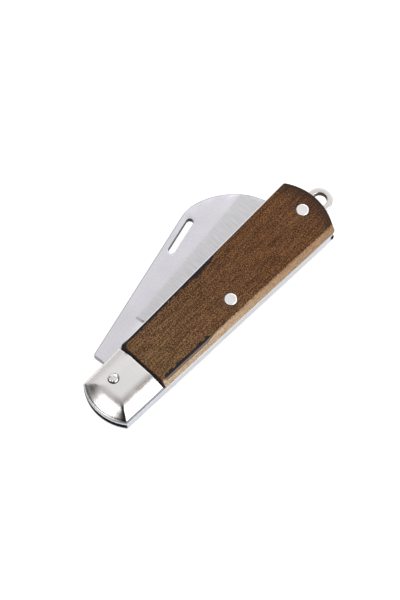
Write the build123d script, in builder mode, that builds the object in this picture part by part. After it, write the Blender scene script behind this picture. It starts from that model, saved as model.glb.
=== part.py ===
"""Whittling knife: a single-blade slip-joint folder with wood scales and a lanyard ring.

The knife lies flat and closed, its lowest rivet heads on Z = 0, with +X from the bolster to
the ring and +Y from the back to the open side that the blade comes out of. All plan
coordinates are taken from the blade's pivot and moved by `layer` so that the origin is the
centre of the bounding box's floor.
"""
import os
from math import atan2, cos, degrees, radians, sin

from build123d import *

# ---- handle plan, from the blade's pivot, millimetres -------------------------------------
handle_mid_y = -3.75        # the handle's centre line
nose_corner_x = -8.3        # where the straight sides meet the bolster end's arc
nose_bulge = 3.7            # how far that arc bows out past its corners
nose_half_width = 11.05     # half the liners' width at the nose corners
tail_half_width = 13.7      # and at the ring end
tail_width_x = 99.3         # where the ring end's width is taken
liner_tail_x = 97.9         # where the liners' sides meet their ring-end arc
scale_tail_x = 99.3         # and the wood's
tail_bulge = 3.8
bolster_end_x = 10.4        # the bolster's straight edge, beside the wood
scale_start_x = 10.75

# ---- layers, from the floor up --------------------------------------------------------------
head_proud = 0.25           # how far the rivet heads stand out of the wood
scale_thickness = 4.3
liner_thickness = 1.1
spring_thickness = 3.0      # the layer between the liners
blade_thickness = 2.6       # runs between the liners with 0.2 mm each side
ring_thickness = 2.8
bolster_drop = 0.7          # the bolster's flat lies this far below the wood's

# ---- wood scales ----------------------------------------------------------------------------
scale_back_inset = 0.1      # of the wood's seat from the liner's edge
scale_open_inset = 0.4
scale_back_draft = 1.9      # how far the back side leans in over the thickness
scale_open_draft = 0.5
scale_end_draft = 0.05
scale_tail_radius = 1.6     # plan rounding of the corners at the ring end
scale_start_radius = 0.7    # and beside the bolster

# ---- bolsters -------------------------------------------------------------------------------
bolster_back_inset = 0.65
bolster_open_inset = 0.1
bolster_nose_inset = 0.2
bolster_skirt = 0.4         # upright wall under the bevels
bolster_bevel = 5.4         # width of the back and open-side bevels in plan
bolster_nose_bevel = 5.8
bolster_flat_bulge = 0.7    # bow of the flat's end
bolster_edge_radius = 1.3

# ---- blade ----------------------------------------------------------------------------------
open_angle = 173.0          # from closed to open, where the edge lies along the handle
tang_flat = 7.2             # distance of both tang flats from the pivot
tang_flat_half = 4.5        # half the length of a flat, out to the round cam
kick_x = 6.5                # front end of the closed flat
choil_x, choil_y = 9.6, -4.1
shoulder_u = 4.165          # the shoulder's distance from the pivot along the open flat
shoulder_v = 12.586         # the shoulder corner's distance across it
shoulder_radius = 0.8
belly_centre_x = 64.87      # the sheepfoot's big arc
belly_centre_y = 0.98
belly_radius = 28.5
belly_top_angle = 83.9
point_angle = 8.1
spine_blend_radius = 15.0
heel_x, heel_y = 13.0, -3.9
grind_width = 13.9          # the ground bevel, measured square to the edge
grind_start = 12.9          # from the heel along the edge
edge_land = 0.3             # thickness left at the cutting edge
nick_x, nick_y = 58.95, 23.2
nick_length, nick_width = 16.0, 2.8

# ---- back spring ----------------------------------------------------------------------------
running_gap = 0.05
spring_tip_x = -8.1
spring_tail_x = 97.0
spring_limb = 3.6           # depth of the thin front limb
spring_rear_limb = 4.4
spring_head_end_x = 7.6     # the head narrows into the limb after this
spring_limb_x = 12.0
boss_half_foot, boss_half_top = 7.4, 2.8
boss_rise = 3.1             # of the middle boss above the rivet's centre
tail_boss_y = -11.6
tail_boss_x = 86.0
tail_slope_x = 83.0
spring_bend_radius = 1.8

# ---- pins, rivets and ring ------------------------------------------------------------------
fit_gap = 0.03              # between a fixed pin and its hole, radially
running_fit = 0.06          # between a turning part and its pin, radially
pivot_radius, pivot_head_radius = 1.6, 1.95
pivot_head_height = 0.7
middle_rivet_x, middle_rivet_y = 51.3, -9.4
end_rivet_x, end_rivet_y = 95.9, -3.8
rivet_head_radius, rivet_head_thickness = 2.4, 1.2
rivet_rim_chamfer = 0.25
rivet_tube_radius, rivet_core_radius = 1.6, 1.0
rivet_core_reach = 3.6      # how far the male half's pin enters past the middle
tail_pin_x, tail_pin_y, tail_pin_radius = 91.5, -13.9, 1.2
bolster_pin_radius = 0.8
bolster_pin_depth = 1.6     # how far it enters the bolster
bolster_pin_places = [(-3.6, -7.6), (7.2, -7.6)]
ring_reach = 9.9            # from the rivet to the ring's centre
ring_radius, ring_hole_radius = 4.9, 2.7
ring_eye_radius = 3.8
ring_neck_width = 5.6

# ---- worked-out heights ---------------------------------------------------------------------
rear_scale_z = head_proud
rear_liner_z = rear_scale_z + scale_thickness
spring_z = rear_liner_z + liner_thickness
front_liner_z = spring_z + spring_thickness
front_scale_z = front_liner_z + liner_thickness
wood_top_z = front_scale_z + scale_thickness
top_z = wood_top_z + head_proud
middle_z = spring_z + spring_thickness / 2
blade_z = middle_z - blade_thickness / 2
bolster_flat_z = wood_top_z - bolster_drop

# ---- worked-out plan ------------------------------------------------------------------------
flare = (tail_half_width - nose_half_width) / (tail_width_x - nose_corner_x)
closed_turn = radians(180 - open_angle)     # of the open flat from the handle's line


def from_open(u, v):
    """A point of the closed blade, from its distances along and across the open flat."""
    return (u * cos(closed_turn) - v * sin(closed_turn), u * sin(closed_turn) + v * cos(closed_turn))


def on_belly(angle):
    """A point of the sheepfoot's big arc."""
    turn = radians(angle)
    return (belly_centre_x + belly_radius * cos(turn), belly_centre_y + belly_radius * sin(turn))


shoulder = from_open(shoulder_u, shoulder_v)
spine_end = on_belly(belly_top_angle)
point = on_belly(point_angle)
spine_angle = degrees(atan2(spine_end[1] - shoulder[1], spine_end[0] - shoulder[0]))
edge_angle = degrees(atan2(point[1] - heel_y, point[0] - heel_x))


def side_y(x, side, inset=0.0):
    """Y of the handle's straight side at x: side -1 is the back, +1 the open side."""
    half = nose_half_width + flare * (x - nose_corner_x)
    return handle_mid_y + side * (half - inset)


# The sheepfoot's highest point is where the spine's blend arc turns level.
spine_turn = radians(spine_angle)
line_gap = (spine_end[1] - shoulder[1]) * (belly_centre_x - shoulder[0]) / (spine_end[0] - shoulder[0])
centre_drop = (shoulder[1] + line_gap - belly_centre_y) * cos(spine_turn)
blend_run = ((belly_radius - centre_drop) * (belly_radius + centre_drop - 2 * spine_blend_radius)) ** 0.5
blend_drop = centre_drop - spine_blend_radius
blend_centre_y = belly_centre_y + blend_drop * cos(spine_turn) + blend_run * sin(spine_turn)
box_top_y = blend_centre_y + spine_blend_radius
box_low_y = side_y(liner_tail_x, -1)
box_low_x = nose_corner_x - nose_bulge
box_high_x = end_rivet_x + ring_reach + ring_radius
origin_x = (box_low_x + box_high_x) / 2
origin_y = (box_low_y + box_top_y) / 2


def layer(z):
    """The level plane at height z whose own origin is the blade's pivot."""
    return Plane(origin=(-origin_x, -origin_y, z))


def end_edge(start, end, x, bulge):
    """Draw one end of a handle layer: straight, or bowed out to x + bulge on the centre line."""
    if bulge:
        ThreePointArc(start, (x + bulge, handle_mid_y), end)
    else:
        Line(start, end)


def handle_outline(start_x, start_bulge, end_x, end_bulge, back_inset, open_inset):
    """The outline of a handle layer: flared straight sides, with ends straight or bowed out."""
    back_start = (start_x, side_y(start_x, -1, back_inset))
    back_end = (end_x, side_y(end_x, -1, back_inset))
    open_start = (start_x, side_y(start_x, 1, open_inset))
    open_end = (end_x, side_y(end_x, 1, open_inset))
    with BuildLine() as outline:
        Line(back_start, back_end)
        end_edge(back_end, open_end, end_x, end_bulge)
        Line(open_end, open_start)
        end_edge(open_start, back_start, start_x, -start_bulge)
    return outline.line


def rods(places, radius, low_z, high_z):
    """Round rods from low_z to high_z, one at each place."""
    with BuildPart() as stock:
        with BuildSketch(layer(low_z)):
            with Locations(*places):
                Circle(radius)
        extrude(amount=high_z - low_z)
    return stock.part


def finish(part, label):
    """Name a piece and write it as its own file."""
    part.label = label
    export_step(part, f"parts/{label}.step")


pivot = (0, 0)
middle_rivet = (middle_rivet_x, middle_rivet_y)
end_rivet = (end_rivet_x, end_rivet_y)
both_rivets = [middle_rivet, end_rivet]
tail_pin = (tail_pin_x, tail_pin_y)
os.makedirs("parts", exist_ok=True)

# ---- liners: flat sheets that everything is riveted to --------------------------------------
for name, low_z in (("rear_liner", rear_liner_z), ("front_liner", front_liner_z)):
    with BuildPart() as liner:
        with BuildSketch(layer(low_z)):
            add(handle_outline(nose_corner_x, nose_bulge, liner_tail_x, tail_bulge, 0, 0))
            make_face()
        extrude(amount=liner_thickness)
        high_z = low_z + liner_thickness
        add(rods([pivot], pivot_radius + fit_gap, low_z, high_z), mode=Mode.SUBTRACT)
        add(rods(both_rivets, rivet_tube_radius + fit_gap, low_z, high_z), mode=Mode.SUBTRACT)
        add(rods([tail_pin], tail_pin_radius + fit_gap, low_z, high_z), mode=Mode.SUBTRACT)
        add(rods(bolster_pin_places, bolster_pin_radius + fit_gap, low_z, high_z), mode=Mode.SUBTRACT)
    finish(liner.part, name)


# ---- wood scales: drafted slabs with a sunk seat for each rivet head ------------------------
def scale_outline(end_x, back_inset, open_inset):
    """A wood scale's outline at one height, as a face with rounded corners."""
    with BuildSketch() as outline:
        add(handle_outline(scale_start_x, 0, end_x, tail_bulge, back_inset, open_inset))
        make_face()
        fillet(outline.vertices().group_by(Axis.X)[-1], scale_tail_radius)
        fillet(outline.vertices().group_by(Axis.X)[0], scale_start_radius)
    return outline.sketch


seat_face = scale_outline(scale_tail_x, scale_back_inset, scale_open_inset)
top_face = scale_outline(
    scale_tail_x - scale_end_draft,
    scale_back_inset + scale_back_draft,
    scale_open_inset + scale_open_draft,
)
seat_depth = rivet_head_thickness - head_proud
for name, seat_z, face_z in (
    ("rear_scale", rear_liner_z, rear_scale_z),
    ("front_scale", front_scale_z, wood_top_z),
):
    outward = 1 if face_z > seat_z else -1
    with BuildPart() as scale:
        with BuildSketch(layer(seat_z)):
            add(seat_face)
        with BuildSketch(layer(face_z)):
            add(top_face)
        loft(ruled=True)
        add(rods(both_rivets, rivet_tube_radius + fit_gap, seat_z, face_z), mode=Mode.SUBTRACT)
        seat_floor_z = face_z - outward * seat_depth
        add(rods(both_rivets, rivet_head_radius + running_gap, seat_floor_z, face_z), mode=Mode.SUBTRACT)
    finish(scale.part, name)

# ---- bolsters: metal caps with a flat, three bevels and rounded hips ------------------------
nose_x = nose_corner_x + bolster_nose_inset
flat_nose_x = nose_x - nose_bulge + bolster_nose_bevel + bolster_flat_bulge
seat_outline = handle_outline(nose_x, nose_bulge, bolster_end_x, 0, bolster_back_inset, bolster_open_inset)
flat_outline = handle_outline(
    flat_nose_x, bolster_flat_bulge, bolster_end_x, 0,
    bolster_back_inset + bolster_bevel, bolster_open_inset + bolster_bevel,
)
for name, seat_z, outward in (("rear_bolster", rear_liner_z, -1), ("front_bolster", front_scale_z, 1)):
    skirt_z = seat_z + outward * bolster_skirt
    flat_z = seat_z + outward * (bolster_flat_z - front_scale_z)
    with BuildPart() as bolster:
        with BuildSketch(layer(skirt_z)):
            add(seat_outline)
            make_face()
        with BuildSketch(layer(flat_z)):
            add(flat_outline)
            make_face()
        loft(ruled=True)
        flat_face = bolster.faces().filter_by(Axis.Z).sort_by(lambda face: outward * face.center().Z)[-1]
        straight_end = bolster.faces().filter_by(Axis.X).sort_by(Axis.X)[-1]
        soft_edges = [edge for edge in flat_face.edges() if edge not in straight_end.edges()]
        fillet(soft_edges, bolster_edge_radius)
        with BuildSketch(layer(seat_z)):
            add(seat_outline)
            make_face()
        extrude(amount=outward * bolster_skirt)
        add(rods([pivot], pivot_radius + fit_gap, seat_z, flat_z), mode=Mode.SUBTRACT)
        pin_end_z = seat_z + outward * bolster_pin_depth
        add(rods(bolster_pin_places, bolster_pin_radius + fit_gap, seat_z, pin_end_z), mode=Mode.SUBTRACT)
    finish(bolster.part, name)

# ---- bolster pins: short studs riveted through the liner, blind in the bolster --------------
for name, inner_z, outward in (
    ("rear_bolster_pins", spring_z, -1),
    ("front_bolster_pins", front_liner_z, 1),
):
    with BuildPart() as studs:
        with BuildSketch(layer(inner_z)):
            with Locations(*bolster_pin_places):
                Circle(bolster_pin_radius)
        extrude(amount=outward * (liner_thickness + bolster_pin_depth - running_gap))
    finish(studs.part, name)

# ---- blade: sheepfoot with a ground bevel, a nail slot and a tang cut for the spring ---------
cam_start = (-tang_flat_half, -tang_flat)
cam_end = from_open(-tang_flat_half, tang_flat)
cam_radius = (tang_flat**2 + tang_flat_half**2) ** 0.5
cam_turn = degrees(atan2(cam_end[1], cam_end[0])) % 360
cam_return = degrees(atan2(cam_start[1], cam_start[0])) % 360
edge_turn = radians(edge_angle)
edge_length = ((point[0] - heel_x) ** 2 + (point[1] - heel_y) ** 2) ** 0.5

with BuildPart() as blade:
    with BuildSketch(layer(blade_z)):
        with BuildLine():
            Line(shoulder, spine_end)
            belly_centre = (belly_centre_x, belly_centre_y)
            CenterArc(belly_centre, belly_radius, point_angle, belly_top_angle - point_angle)
            Polyline(point, (heel_x, heel_y), (choil_x, choil_y), (kick_x, -tang_flat), cam_start)
            CenterArc((0, 0), cam_radius, cam_turn, cam_return - cam_turn)
            Polyline(cam_end, from_open(shoulder_u, tang_flat), shoulder)
        make_face()
        fillet(vertices().sort_by_distance(shoulder)[0], shoulder_radius)
        fillet(vertices().sort_by_distance(spine_end)[0], spine_blend_radius)
        with Locations((nick_x, nick_y)):
            SlotOverall(nick_length, nick_width, rotation=spine_angle, mode=Mode.SUBTRACT)
        Circle(pivot_radius + running_fit, mode=Mode.SUBTRACT)
    extrude(amount=blade_thickness)
    grind_x = heel_x - origin_x + grind_start * cos(edge_turn)
    grind_y = heel_y - origin_y + grind_start * sin(edge_turn)
    across_edge = Plane(
        origin=(grind_x, grind_y, middle_z),
        x_dir=(-sin(edge_turn), cos(edge_turn), 0),
        z_dir=(cos(edge_turn), sin(edge_turn), 0),
    )
    with BuildSketch(across_edge):
        with BuildLine():
            Polyline(
                (grind_width, blade_thickness / 2), (0, edge_land / 2), (-blade_thickness, edge_land / 2),
                (-blade_thickness, blade_thickness), (grind_width, blade_thickness), close=True,
            )
        make_face()
        mirror(about=Plane.XZ)
    extrude(amount=edge_length, mode=Mode.SUBTRACT)
finish(blade.part, "blade")

# ---- back spring: bar with a hooded head, two limbs, and bosses for its two pins ------------
head_y = -tang_flat - running_gap
end_face_x = running_gap - shoulder_u
hood_root_y = -shoulder_v - running_gap
spine_open_slope = sin(radians(spine_angle) - closed_turn) / cos(radians(spine_angle) - closed_turn)
hood_tip_y = hood_root_y - (end_face_x - spring_tip_x) * spine_open_slope
with BuildPart() as back_spring:
    with BuildSketch(layer(spring_z)) as profile:
        with BuildLine():
            Polyline(
                (spring_tip_x, side_y(spring_tip_x, -1)),
                (spring_tail_x, side_y(spring_tail_x, -1)),
                (spring_tail_x, tail_boss_y),
                (tail_boss_x, tail_boss_y),
                (tail_slope_x, side_y(tail_slope_x, -1) + spring_rear_limb),
                (middle_rivet_x + boss_half_foot, side_y(middle_rivet_x, -1) + spring_rear_limb),
                (middle_rivet_x + boss_half_top, middle_rivet_y + boss_rise),
                (middle_rivet_x - boss_half_top, middle_rivet_y + boss_rise),
                (middle_rivet_x - boss_half_foot, side_y(middle_rivet_x, -1) + spring_rear_limb),
                (spring_limb_x, side_y(spring_limb_x, -1) + spring_limb),
                (spring_head_end_x, head_y),
                (end_face_x, head_y),
                (end_face_x, hood_root_y),
                (spring_tip_x, hood_tip_y),
                close=True,
            )
        make_face()
        inner_bends = vertices().filter_by(lambda bend: spring_head_end_x - 1 < bend.X < spring_tail_x + 1)
        fillet(inner_bends.filter_by(lambda bend: bend.Y > side_y(bend.X, -1) + 1), spring_bend_radius)
    extrude(amount=spring_thickness)
    spring_top_z = spring_z + spring_thickness
    add(rods([middle_rivet], rivet_tube_radius + fit_gap, spring_z, spring_top_z), mode=Mode.SUBTRACT)
    add(rods([tail_pin], tail_pin_radius + fit_gap, spring_z, spring_top_z), mode=Mode.SUBTRACT)
finish(back_spring.part, "back_spring")

# ---- lanyard ring: flat stamping, its eye turning on the end rivet --------------------------
ring_centre = (end_rivet_x + ring_reach, end_rivet_y)
with BuildPart() as lanyard_ring:
    with BuildSketch(layer(middle_z - ring_thickness / 2)):
        with Locations(end_rivet):
            Circle(ring_eye_radius)
            Rectangle(ring_reach, ring_neck_width, align=(Align.MIN, Align.CENTER))
        with Locations(ring_centre):
            Circle(ring_radius)
            Circle(ring_hole_radius, mode=Mode.SUBTRACT)
        with Locations(end_rivet):
            Circle(rivet_tube_radius + running_fit, mode=Mode.SUBTRACT)
    extrude(amount=ring_thickness)
finish(lanyard_ring.part, "lanyard_ring")

# ---- pins -----------------------------------------------------------------------------------
with BuildPart() as pivot_pin:
    head_low_z = bolster_drop + head_proud - pivot_head_height
    add(rods([pivot], pivot_radius, head_low_z, top_z - head_low_z))
    add(rods([pivot], pivot_head_radius, head_low_z, head_proud + bolster_drop))
    add(rods([pivot], pivot_head_radius, bolster_flat_z, top_z - head_low_z))
finish(pivot_pin.part, "pivot_pin")

with BuildPart() as spring_tail_pin:
    add(rods([tail_pin], tail_pin_radius, rear_liner_z, front_scale_z))
finish(spring_tail_pin.part, "spring_tail_pin")

# ---- two-part rivets: a tube with a head in front, a cored pin with a head behind ------------
for name, place in (("middle_rivet", middle_rivet), ("end_rivet", end_rivet)):
    with BuildPart() as tube_half:
        head_inner_z = top_z - rivet_head_thickness
        add(rods([place], rivet_head_radius, head_inner_z, top_z))
        chamfer(tube_half.edges().group_by(Axis.Z)[-1], rivet_rim_chamfer)
        add(rods([place], rivet_tube_radius, rear_scale_z + rivet_head_thickness, head_inner_z))
        add(rods([place], rivet_core_radius, rear_scale_z, middle_z + rivet_core_reach), mode=Mode.SUBTRACT)
    finish(tube_half.part, f"{name}_tube")
    with BuildPart() as pin_half:
        add(rods([place], rivet_head_radius, 0, rivet_head_thickness))
        chamfer(pin_half.edges().group_by(Axis.Z)[0], rivet_rim_chamfer)
        add(rods([place], rivet_core_radius, rivet_head_thickness, middle_z + rivet_core_reach))
    finish(pin_half.part, f"{name}_pin")
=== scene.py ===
"""Folding whittling knife, closed and lying flat, on a pale studio floor."""
from math import acos, asin, atan2, cos, degrees, hypot, pi, radians, sin, sqrt, tan

import bmesh
import bpy
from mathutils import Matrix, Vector, noise


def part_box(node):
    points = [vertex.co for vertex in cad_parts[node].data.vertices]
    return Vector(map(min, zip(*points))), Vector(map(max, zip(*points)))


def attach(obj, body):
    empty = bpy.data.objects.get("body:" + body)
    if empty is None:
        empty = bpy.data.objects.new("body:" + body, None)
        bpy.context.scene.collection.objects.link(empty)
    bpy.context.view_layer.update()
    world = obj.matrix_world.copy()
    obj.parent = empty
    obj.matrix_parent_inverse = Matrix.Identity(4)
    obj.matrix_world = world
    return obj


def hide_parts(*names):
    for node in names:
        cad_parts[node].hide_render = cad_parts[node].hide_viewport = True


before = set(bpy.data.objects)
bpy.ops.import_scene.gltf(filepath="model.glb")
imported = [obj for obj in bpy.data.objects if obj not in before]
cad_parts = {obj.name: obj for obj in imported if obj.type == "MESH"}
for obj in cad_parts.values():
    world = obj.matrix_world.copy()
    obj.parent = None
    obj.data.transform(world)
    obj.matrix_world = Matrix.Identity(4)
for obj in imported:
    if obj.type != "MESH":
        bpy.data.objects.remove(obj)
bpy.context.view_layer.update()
MM = 0.001


def middle(node):
    """The centre of a CAD node's box, in millimetres."""
    low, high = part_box(node)
    return (low + high) / 2 / MM


def heights(node):
    """The lowest and highest Z of a CAD node, in millimetres."""
    low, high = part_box(node)
    return low.z / MM, high.z / MM


# Plan coordinates are millimetres from the blade's pivot, and heights are from the floor.
PIVOT = middle("pivot_pin")
MIDDLE_RIVET = middle("middle_rivet_tube") - PIVOT
END_RIVET = middle("end_rivet_tube") - PIVOT
TAIL_PIN = middle("spring_tail_pin") - PIVOT
MID_Y = (middle("front_liner") - PIVOT).y
MID_Z = middle("back_spring").z
REAR_SEAT_Z, FRONT_SEAT_Z = heights("rear_scale")[1], heights("front_scale")[0]
REAR_FACE_Z, FRONT_FACE_Z = heights("rear_scale")[0], heights("front_scale")[1]

# the handle's plan, and how far each layer stays inside the liners' straight sides
BACK, OPEN = -1, 1
NOSE_X, NOSE_BULGE, NOSE_HALF = -8.3, 3.7, 11.05
TAIL_X, TAIL_HALF, TAIL_BULGE = 99.3, 13.7, 3.8
LINER_TAIL_X = 97.9
FLARE = (TAIL_HALF - NOSE_HALF) / (TAIL_X - NOSE_X)
BOLSTER_START_X, BOLSTER_END_X = NOSE_X + 0.2, 10.4
WOOD_START_X = 10.75
BOLSTER_INSET = {BACK: 0.65, OPEN: 0.1}
SEAT_INSET = {BACK: 0.1, OPEN: 0.4}
FACE_INSET = {BACK: 1.7, OPEN: 0.9}

# the bolster's section
BOLSTER_HEIGHT, BOLSTER_RIM = 3.6, 0.4
NOSE_BEVEL, SIDE_BEVEL = 5.7, 5.3
BEVEL_RATIO = 1.075  # on a ridge, the distance from the nose over that from the side

# radii of the round holes, the places of the bolsters' studs, and the ring's sizes
FIXED_HOLE, TURNING_HOLE, TAIL_HOLE, STUD_HOLE, WOOD_HOLE = 1.63, 1.66, 1.23, 0.83, 2.5
STUDS = ((-3.6, -7.6), (7.2, -7.6))
EYE_RADIUS, RING_RADIUS, RING_HOLE, NECK_HALF = 3.8, 4.9, 2.7, 2.8

# the blade, whose open flat leans by OPEN_TURN when it is closed
OPEN_TURN = radians(7)
BLADE_HALF = 1.3
TANG_FLAT, TANG_HALF = 7.2, 4.5
SHOULDER_ALONG, SHOULDER_ACROSS, SHOULDER_ROUND = 4.165, 12.586, 0.8
SPRING_GAP = 0.05
BELLY, BELLY_RADIUS = (64.87, 0.98), 28.5
SPINE_END_ANGLE, POINT_ANGLE = 83.9, 8.1
SPINE_BLEND = 15.0
HEEL, CHOIL, KICK = (13.0, -3.9), (9.6, -4.1), (6.5, -TANG_FLAT)
GRIND_WIDTH, GRIND_START, PLUNGE_LENGTH = 14.6, 12.9, 0.5
EDGE_LAND = 0.3
NICK, NICK_LENGTH, NICK_WIDTH = (58.95, 23.2), 16.0, 2.8


def side_y(x, side, inset=0.0):
    """Y of the handle's straight side at x, moved inward by the inset."""
    return MID_Y + side * (NOSE_HALF + FLARE * (x - NOSE_X) - inset)


def bolster_side(x, side):
    """Y of the bolster's side at x."""
    return side_y(x, side, BOLSTER_INSET[side])


def blade_point(along, across):
    """A point of the closed blade, from its distances along and across the open flat."""
    return (along * cos(OPEN_TURN) - across * sin(OPEN_TURN),
            along * sin(OPEN_TURN) + across * cos(OPEN_TURN))


def on_belly(angle):
    """A point of the blade's round belly, at an angle in degrees."""
    turn = radians(angle)
    return (BELLY[0] + BELLY_RADIUS * cos(turn), BELLY[1] + BELLY_RADIUS * sin(turn))


SHOULDER = blade_point(SHOULDER_ALONG, SHOULDER_ACROSS)
SPINE_END, POINT = on_belly(SPINE_END_ANGLE), on_belly(POINT_ANGLE)
SPINE_TURN = atan2(SPINE_END[1] - SHOULDER[1], SPINE_END[0] - SHOULDER[0])
EDGE_TURN = atan2(POINT[1] - HEEL[1], POINT[0] - HEEL[0])


# ---- flat outlines --------------------------------------------------------------------------
def even_arc(centre, radius, start, end, count):
    """Points along an arc cut into equal steps, from one angle to another in degrees."""
    turns = [radians(start + (end - start) * i / count) for i in range(count + 1)]
    return [(centre[0] + radius * cos(t), centre[1] + radius * sin(t)) for t in turns]


def arc(centre, radius, start, end, step=3.0):
    """Points along an arc, no further apart than the step in degrees."""
    return even_arc(centre, radius, start, end, max(2, int(abs(end - start) / step) + 1))


def circle(centre, radius, count=72):
    """A round outline."""
    turns = [2 * pi * i / count for i in range(count)]
    return [(centre[0] + radius * cos(turn), centre[1] + radius * sin(turn)) for turn in turns]


def angle_of(centre, point):
    """The angle of a point seen from a centre, in degrees."""
    return degrees(atan2(point[1] - centre[1], point[0] - centre[0]))


def arc_radius(half, bulge):
    """The radius of an arc, from half its chord and how far it bows out."""
    return (half * half + bulge * bulge) / (2 * bulge)


def bowed(start, end, bulge, count=60):
    """Points along the arc from start to end that bows out to the right of the way it runs."""
    half = hypot(end[0] - start[0], end[1] - start[1]) / 2
    radius = arc_radius(half, bulge)
    away = atan2(end[1] - start[1], end[0] - start[0]) - pi / 2
    mid = ((start[0] + end[0]) / 2, (start[1] + end[1]) / 2)
    centre = (mid[0] - (radius - bulge) * cos(away), mid[1] - (radius - bulge) * sin(away))
    spread = degrees(asin(half / radius))
    return arc(centre, radius, degrees(away) - spread, degrees(away) + spread, 2 * spread / count)


def rounded(points, radii, steps=8):
    """A polygon with its corners rounded: radii names the corner numbers and their radii."""
    outline = []
    for index, point in enumerate(points):
        if index not in radii:
            outline.append(point)
            continue
        before, after = points[index - 1], points[(index + 1) % len(points)]
        back = Vector((before[0] - point[0], before[1] - point[1])).normalized()
        ahead = Vector((after[0] - point[0], after[1] - point[1])).normalized()
        half = acos(max(-1, min(1, back.dot(ahead)))) / 2
        run = radii[index] / tan(half)
        centre = Vector(point) + (back + ahead).normalized() * radii[index] / sin(half)
        first, last = Vector(point) + back * run - centre, Vector(point) + ahead * run - centre
        for i in range(steps + 1):
            outline.append(tuple(centre + first.slerp(last, i / steps) * radii[index]))
    return outline


def area(outline):
    """The area inside an outline, negative if it runs clockwise."""
    pairs = zip(outline, outline[1:] + outline[:1])
    return sum(a[0] * b[1] - b[0] * a[1] for a, b in pairs) / 2


def wound(outline, outward=True):
    """The outline turned anticlockwise, or clockwise for a hole."""
    return outline if (area(outline) > 0) == outward else outline[::-1]


def inset(outline, distance):
    """The outline moved into the material, which is on the left of the way it runs."""
    moved = []
    befores, afters = outline[-1:] + outline[:-1], outline[1:] + outline[:1]
    for before, point, after in zip(befores, outline, afters):
        a = Vector((point[0] - before[0], point[1] - before[1]))
        b = Vector((after[0] - point[0], after[1] - point[1]))
        a, b = (a if a.length else b).normalized(), (b if b.length else a).normalized()
        normal = Vector((-(a + b).y, (a + b).x)).normalized()
        reach = distance / max(0.5, sqrt(max(0.0, (1 + a.dot(b)) / 2)))
        moved.append((point[0] + normal.x * reach, point[1] + normal.y * reach))
    return moved


# ---- meshes ---------------------------------------------------------------------------------
def place(x, y, z):
    """A point of the row frame, in metres."""
    return Vector(((PIVOT.x + x) * MM, (PIVOT.y + y) * MM, z * MM))


def slab(seat_loops, face_loops, seat_z, face_z, seat_round, face_round, steps=3):
    """A solid between matching outlines at two heights, with its edges rounded at both ends."""
    side = 1 if face_z > seat_z else -1
    mesh = bmesh.new()
    caps = [[], []]
    for seat_loop, face_loop in zip(seat_loops, face_loops):
        turns = [pi / 2 * step / steps for step in range(steps + 1)]
        levels = [(inset(seat_loop, seat_round * (1 - sin(turn))),
                   seat_z + side * seat_round * (1 - cos(turn))) for turn in turns]
        levels += [(inset(face_loop, face_round * (1 - cos(turn))),
                    face_z - side * face_round * (1 - sin(turn))) for turn in turns]
        rings = [[mesh.verts.new(place(x, y, z)) for x, y in loop] for loop, z in levels]
        for low, high in zip(rings, rings[1:]):
            for i in range(len(low)):
                mesh.faces.new((low[i - 1], low[i], high[i], high[i - 1]))
        for cap, ring in zip(caps, (rings[0], rings[-1])):
            cap += [mesh.edges.get((ring[i - 1], ring[i])) for i in range(len(ring))]
    for cap in caps:
        bmesh.ops.triangle_fill(mesh, use_beauty=True, use_dissolve=False, edges=cap)
    return mesh


def plate(loops, low_z, high_z, edge_round, steps=3):
    """A flat plate with the same outlines at both faces."""
    loops = [wound(loops[0])] + [wound(loop, False) for loop in loops[1:]]
    return slab(loops, loops, low_z, high_z, edge_round, edge_round, steps)


def lathe(centre, profile, count=96):
    """A solid turned about an upright axis. Its (radius, z) profile starts and ends there."""
    mesh = bmesh.new()
    ends = (profile[0][1], profile[-1][1])
    tip, foot = (mesh.verts.new(place(centre[0], centre[1], z)) for z in ends)
    rings = []
    for radius, z in profile[1:-1]:
        ring = circle(centre, radius, count)
        rings.append([mesh.verts.new(place(x, y, z)) for x, y in ring])
    for i in range(count):
        mesh.faces.new((tip, rings[0][i - 1], rings[0][i]))
        mesh.faces.new((foot, rings[-1][i], rings[-1][i - 1]))
        for low, high in zip(rings, rings[1:]):
            mesh.faces.new((low[i - 1], high[i - 1], high[i], low[i]))
    return mesh


def add_object(name, mesh, material, smooth=32):
    """A finished mesh as an object, smooth except where its faces meet at more than the angle."""
    bmesh.ops.recalc_face_normals(mesh, faces=mesh.faces)
    data = bpy.data.meshes.new(name)
    mesh.to_mesh(data)
    mesh.free()
    data.polygons.foreach_set("use_smooth", [True] * len(data.polygons))
    data.set_sharp_from_angle(angle=radians(smooth))
    data.materials.append(material)
    thing = bpy.data.objects.new(name, data)
    bpy.context.collection.objects.link(thing)
    return thing


def add_piece(name, mesh, material, body, node, smooth=32):
    """A visible piece that rides on a body and stands for a CAD node."""
    piece = add_object(name, mesh, material, smooth)
    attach(piece, body)
    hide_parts(node)
    return piece


def cut(piece, cutter):
    """Cut another mesh out of the piece, and delete it."""
    modifier = piece.modifiers.new("cut", "BOOLEAN")
    modifier.operation = "DIFFERENCE"
    modifier.solver = "EXACT"
    modifier.object = cutter
    graph = bpy.context.evaluated_depsgraph_get()
    result = bpy.data.meshes.new_from_object(piece.evaluated_get(graph))
    piece.modifiers.clear()
    old = piece.data
    piece.data = result
    bpy.data.meshes.remove(old)
    spare = cutter.data
    bpy.data.objects.remove(cutter)
    bpy.data.meshes.remove(spare)


# ---- materials ------------------------------------------------------------------------------
def set_stops(ramp, stops):
    """Give a colour ramp node its (position, colour) stops."""
    elements = ramp.color_ramp.elements
    while len(elements) < len(stops):
        elements.new(0.5)
    for element, (position, colour) in zip(elements, stops):
        element.position = position
        element.color = (*colour, 1)


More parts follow.
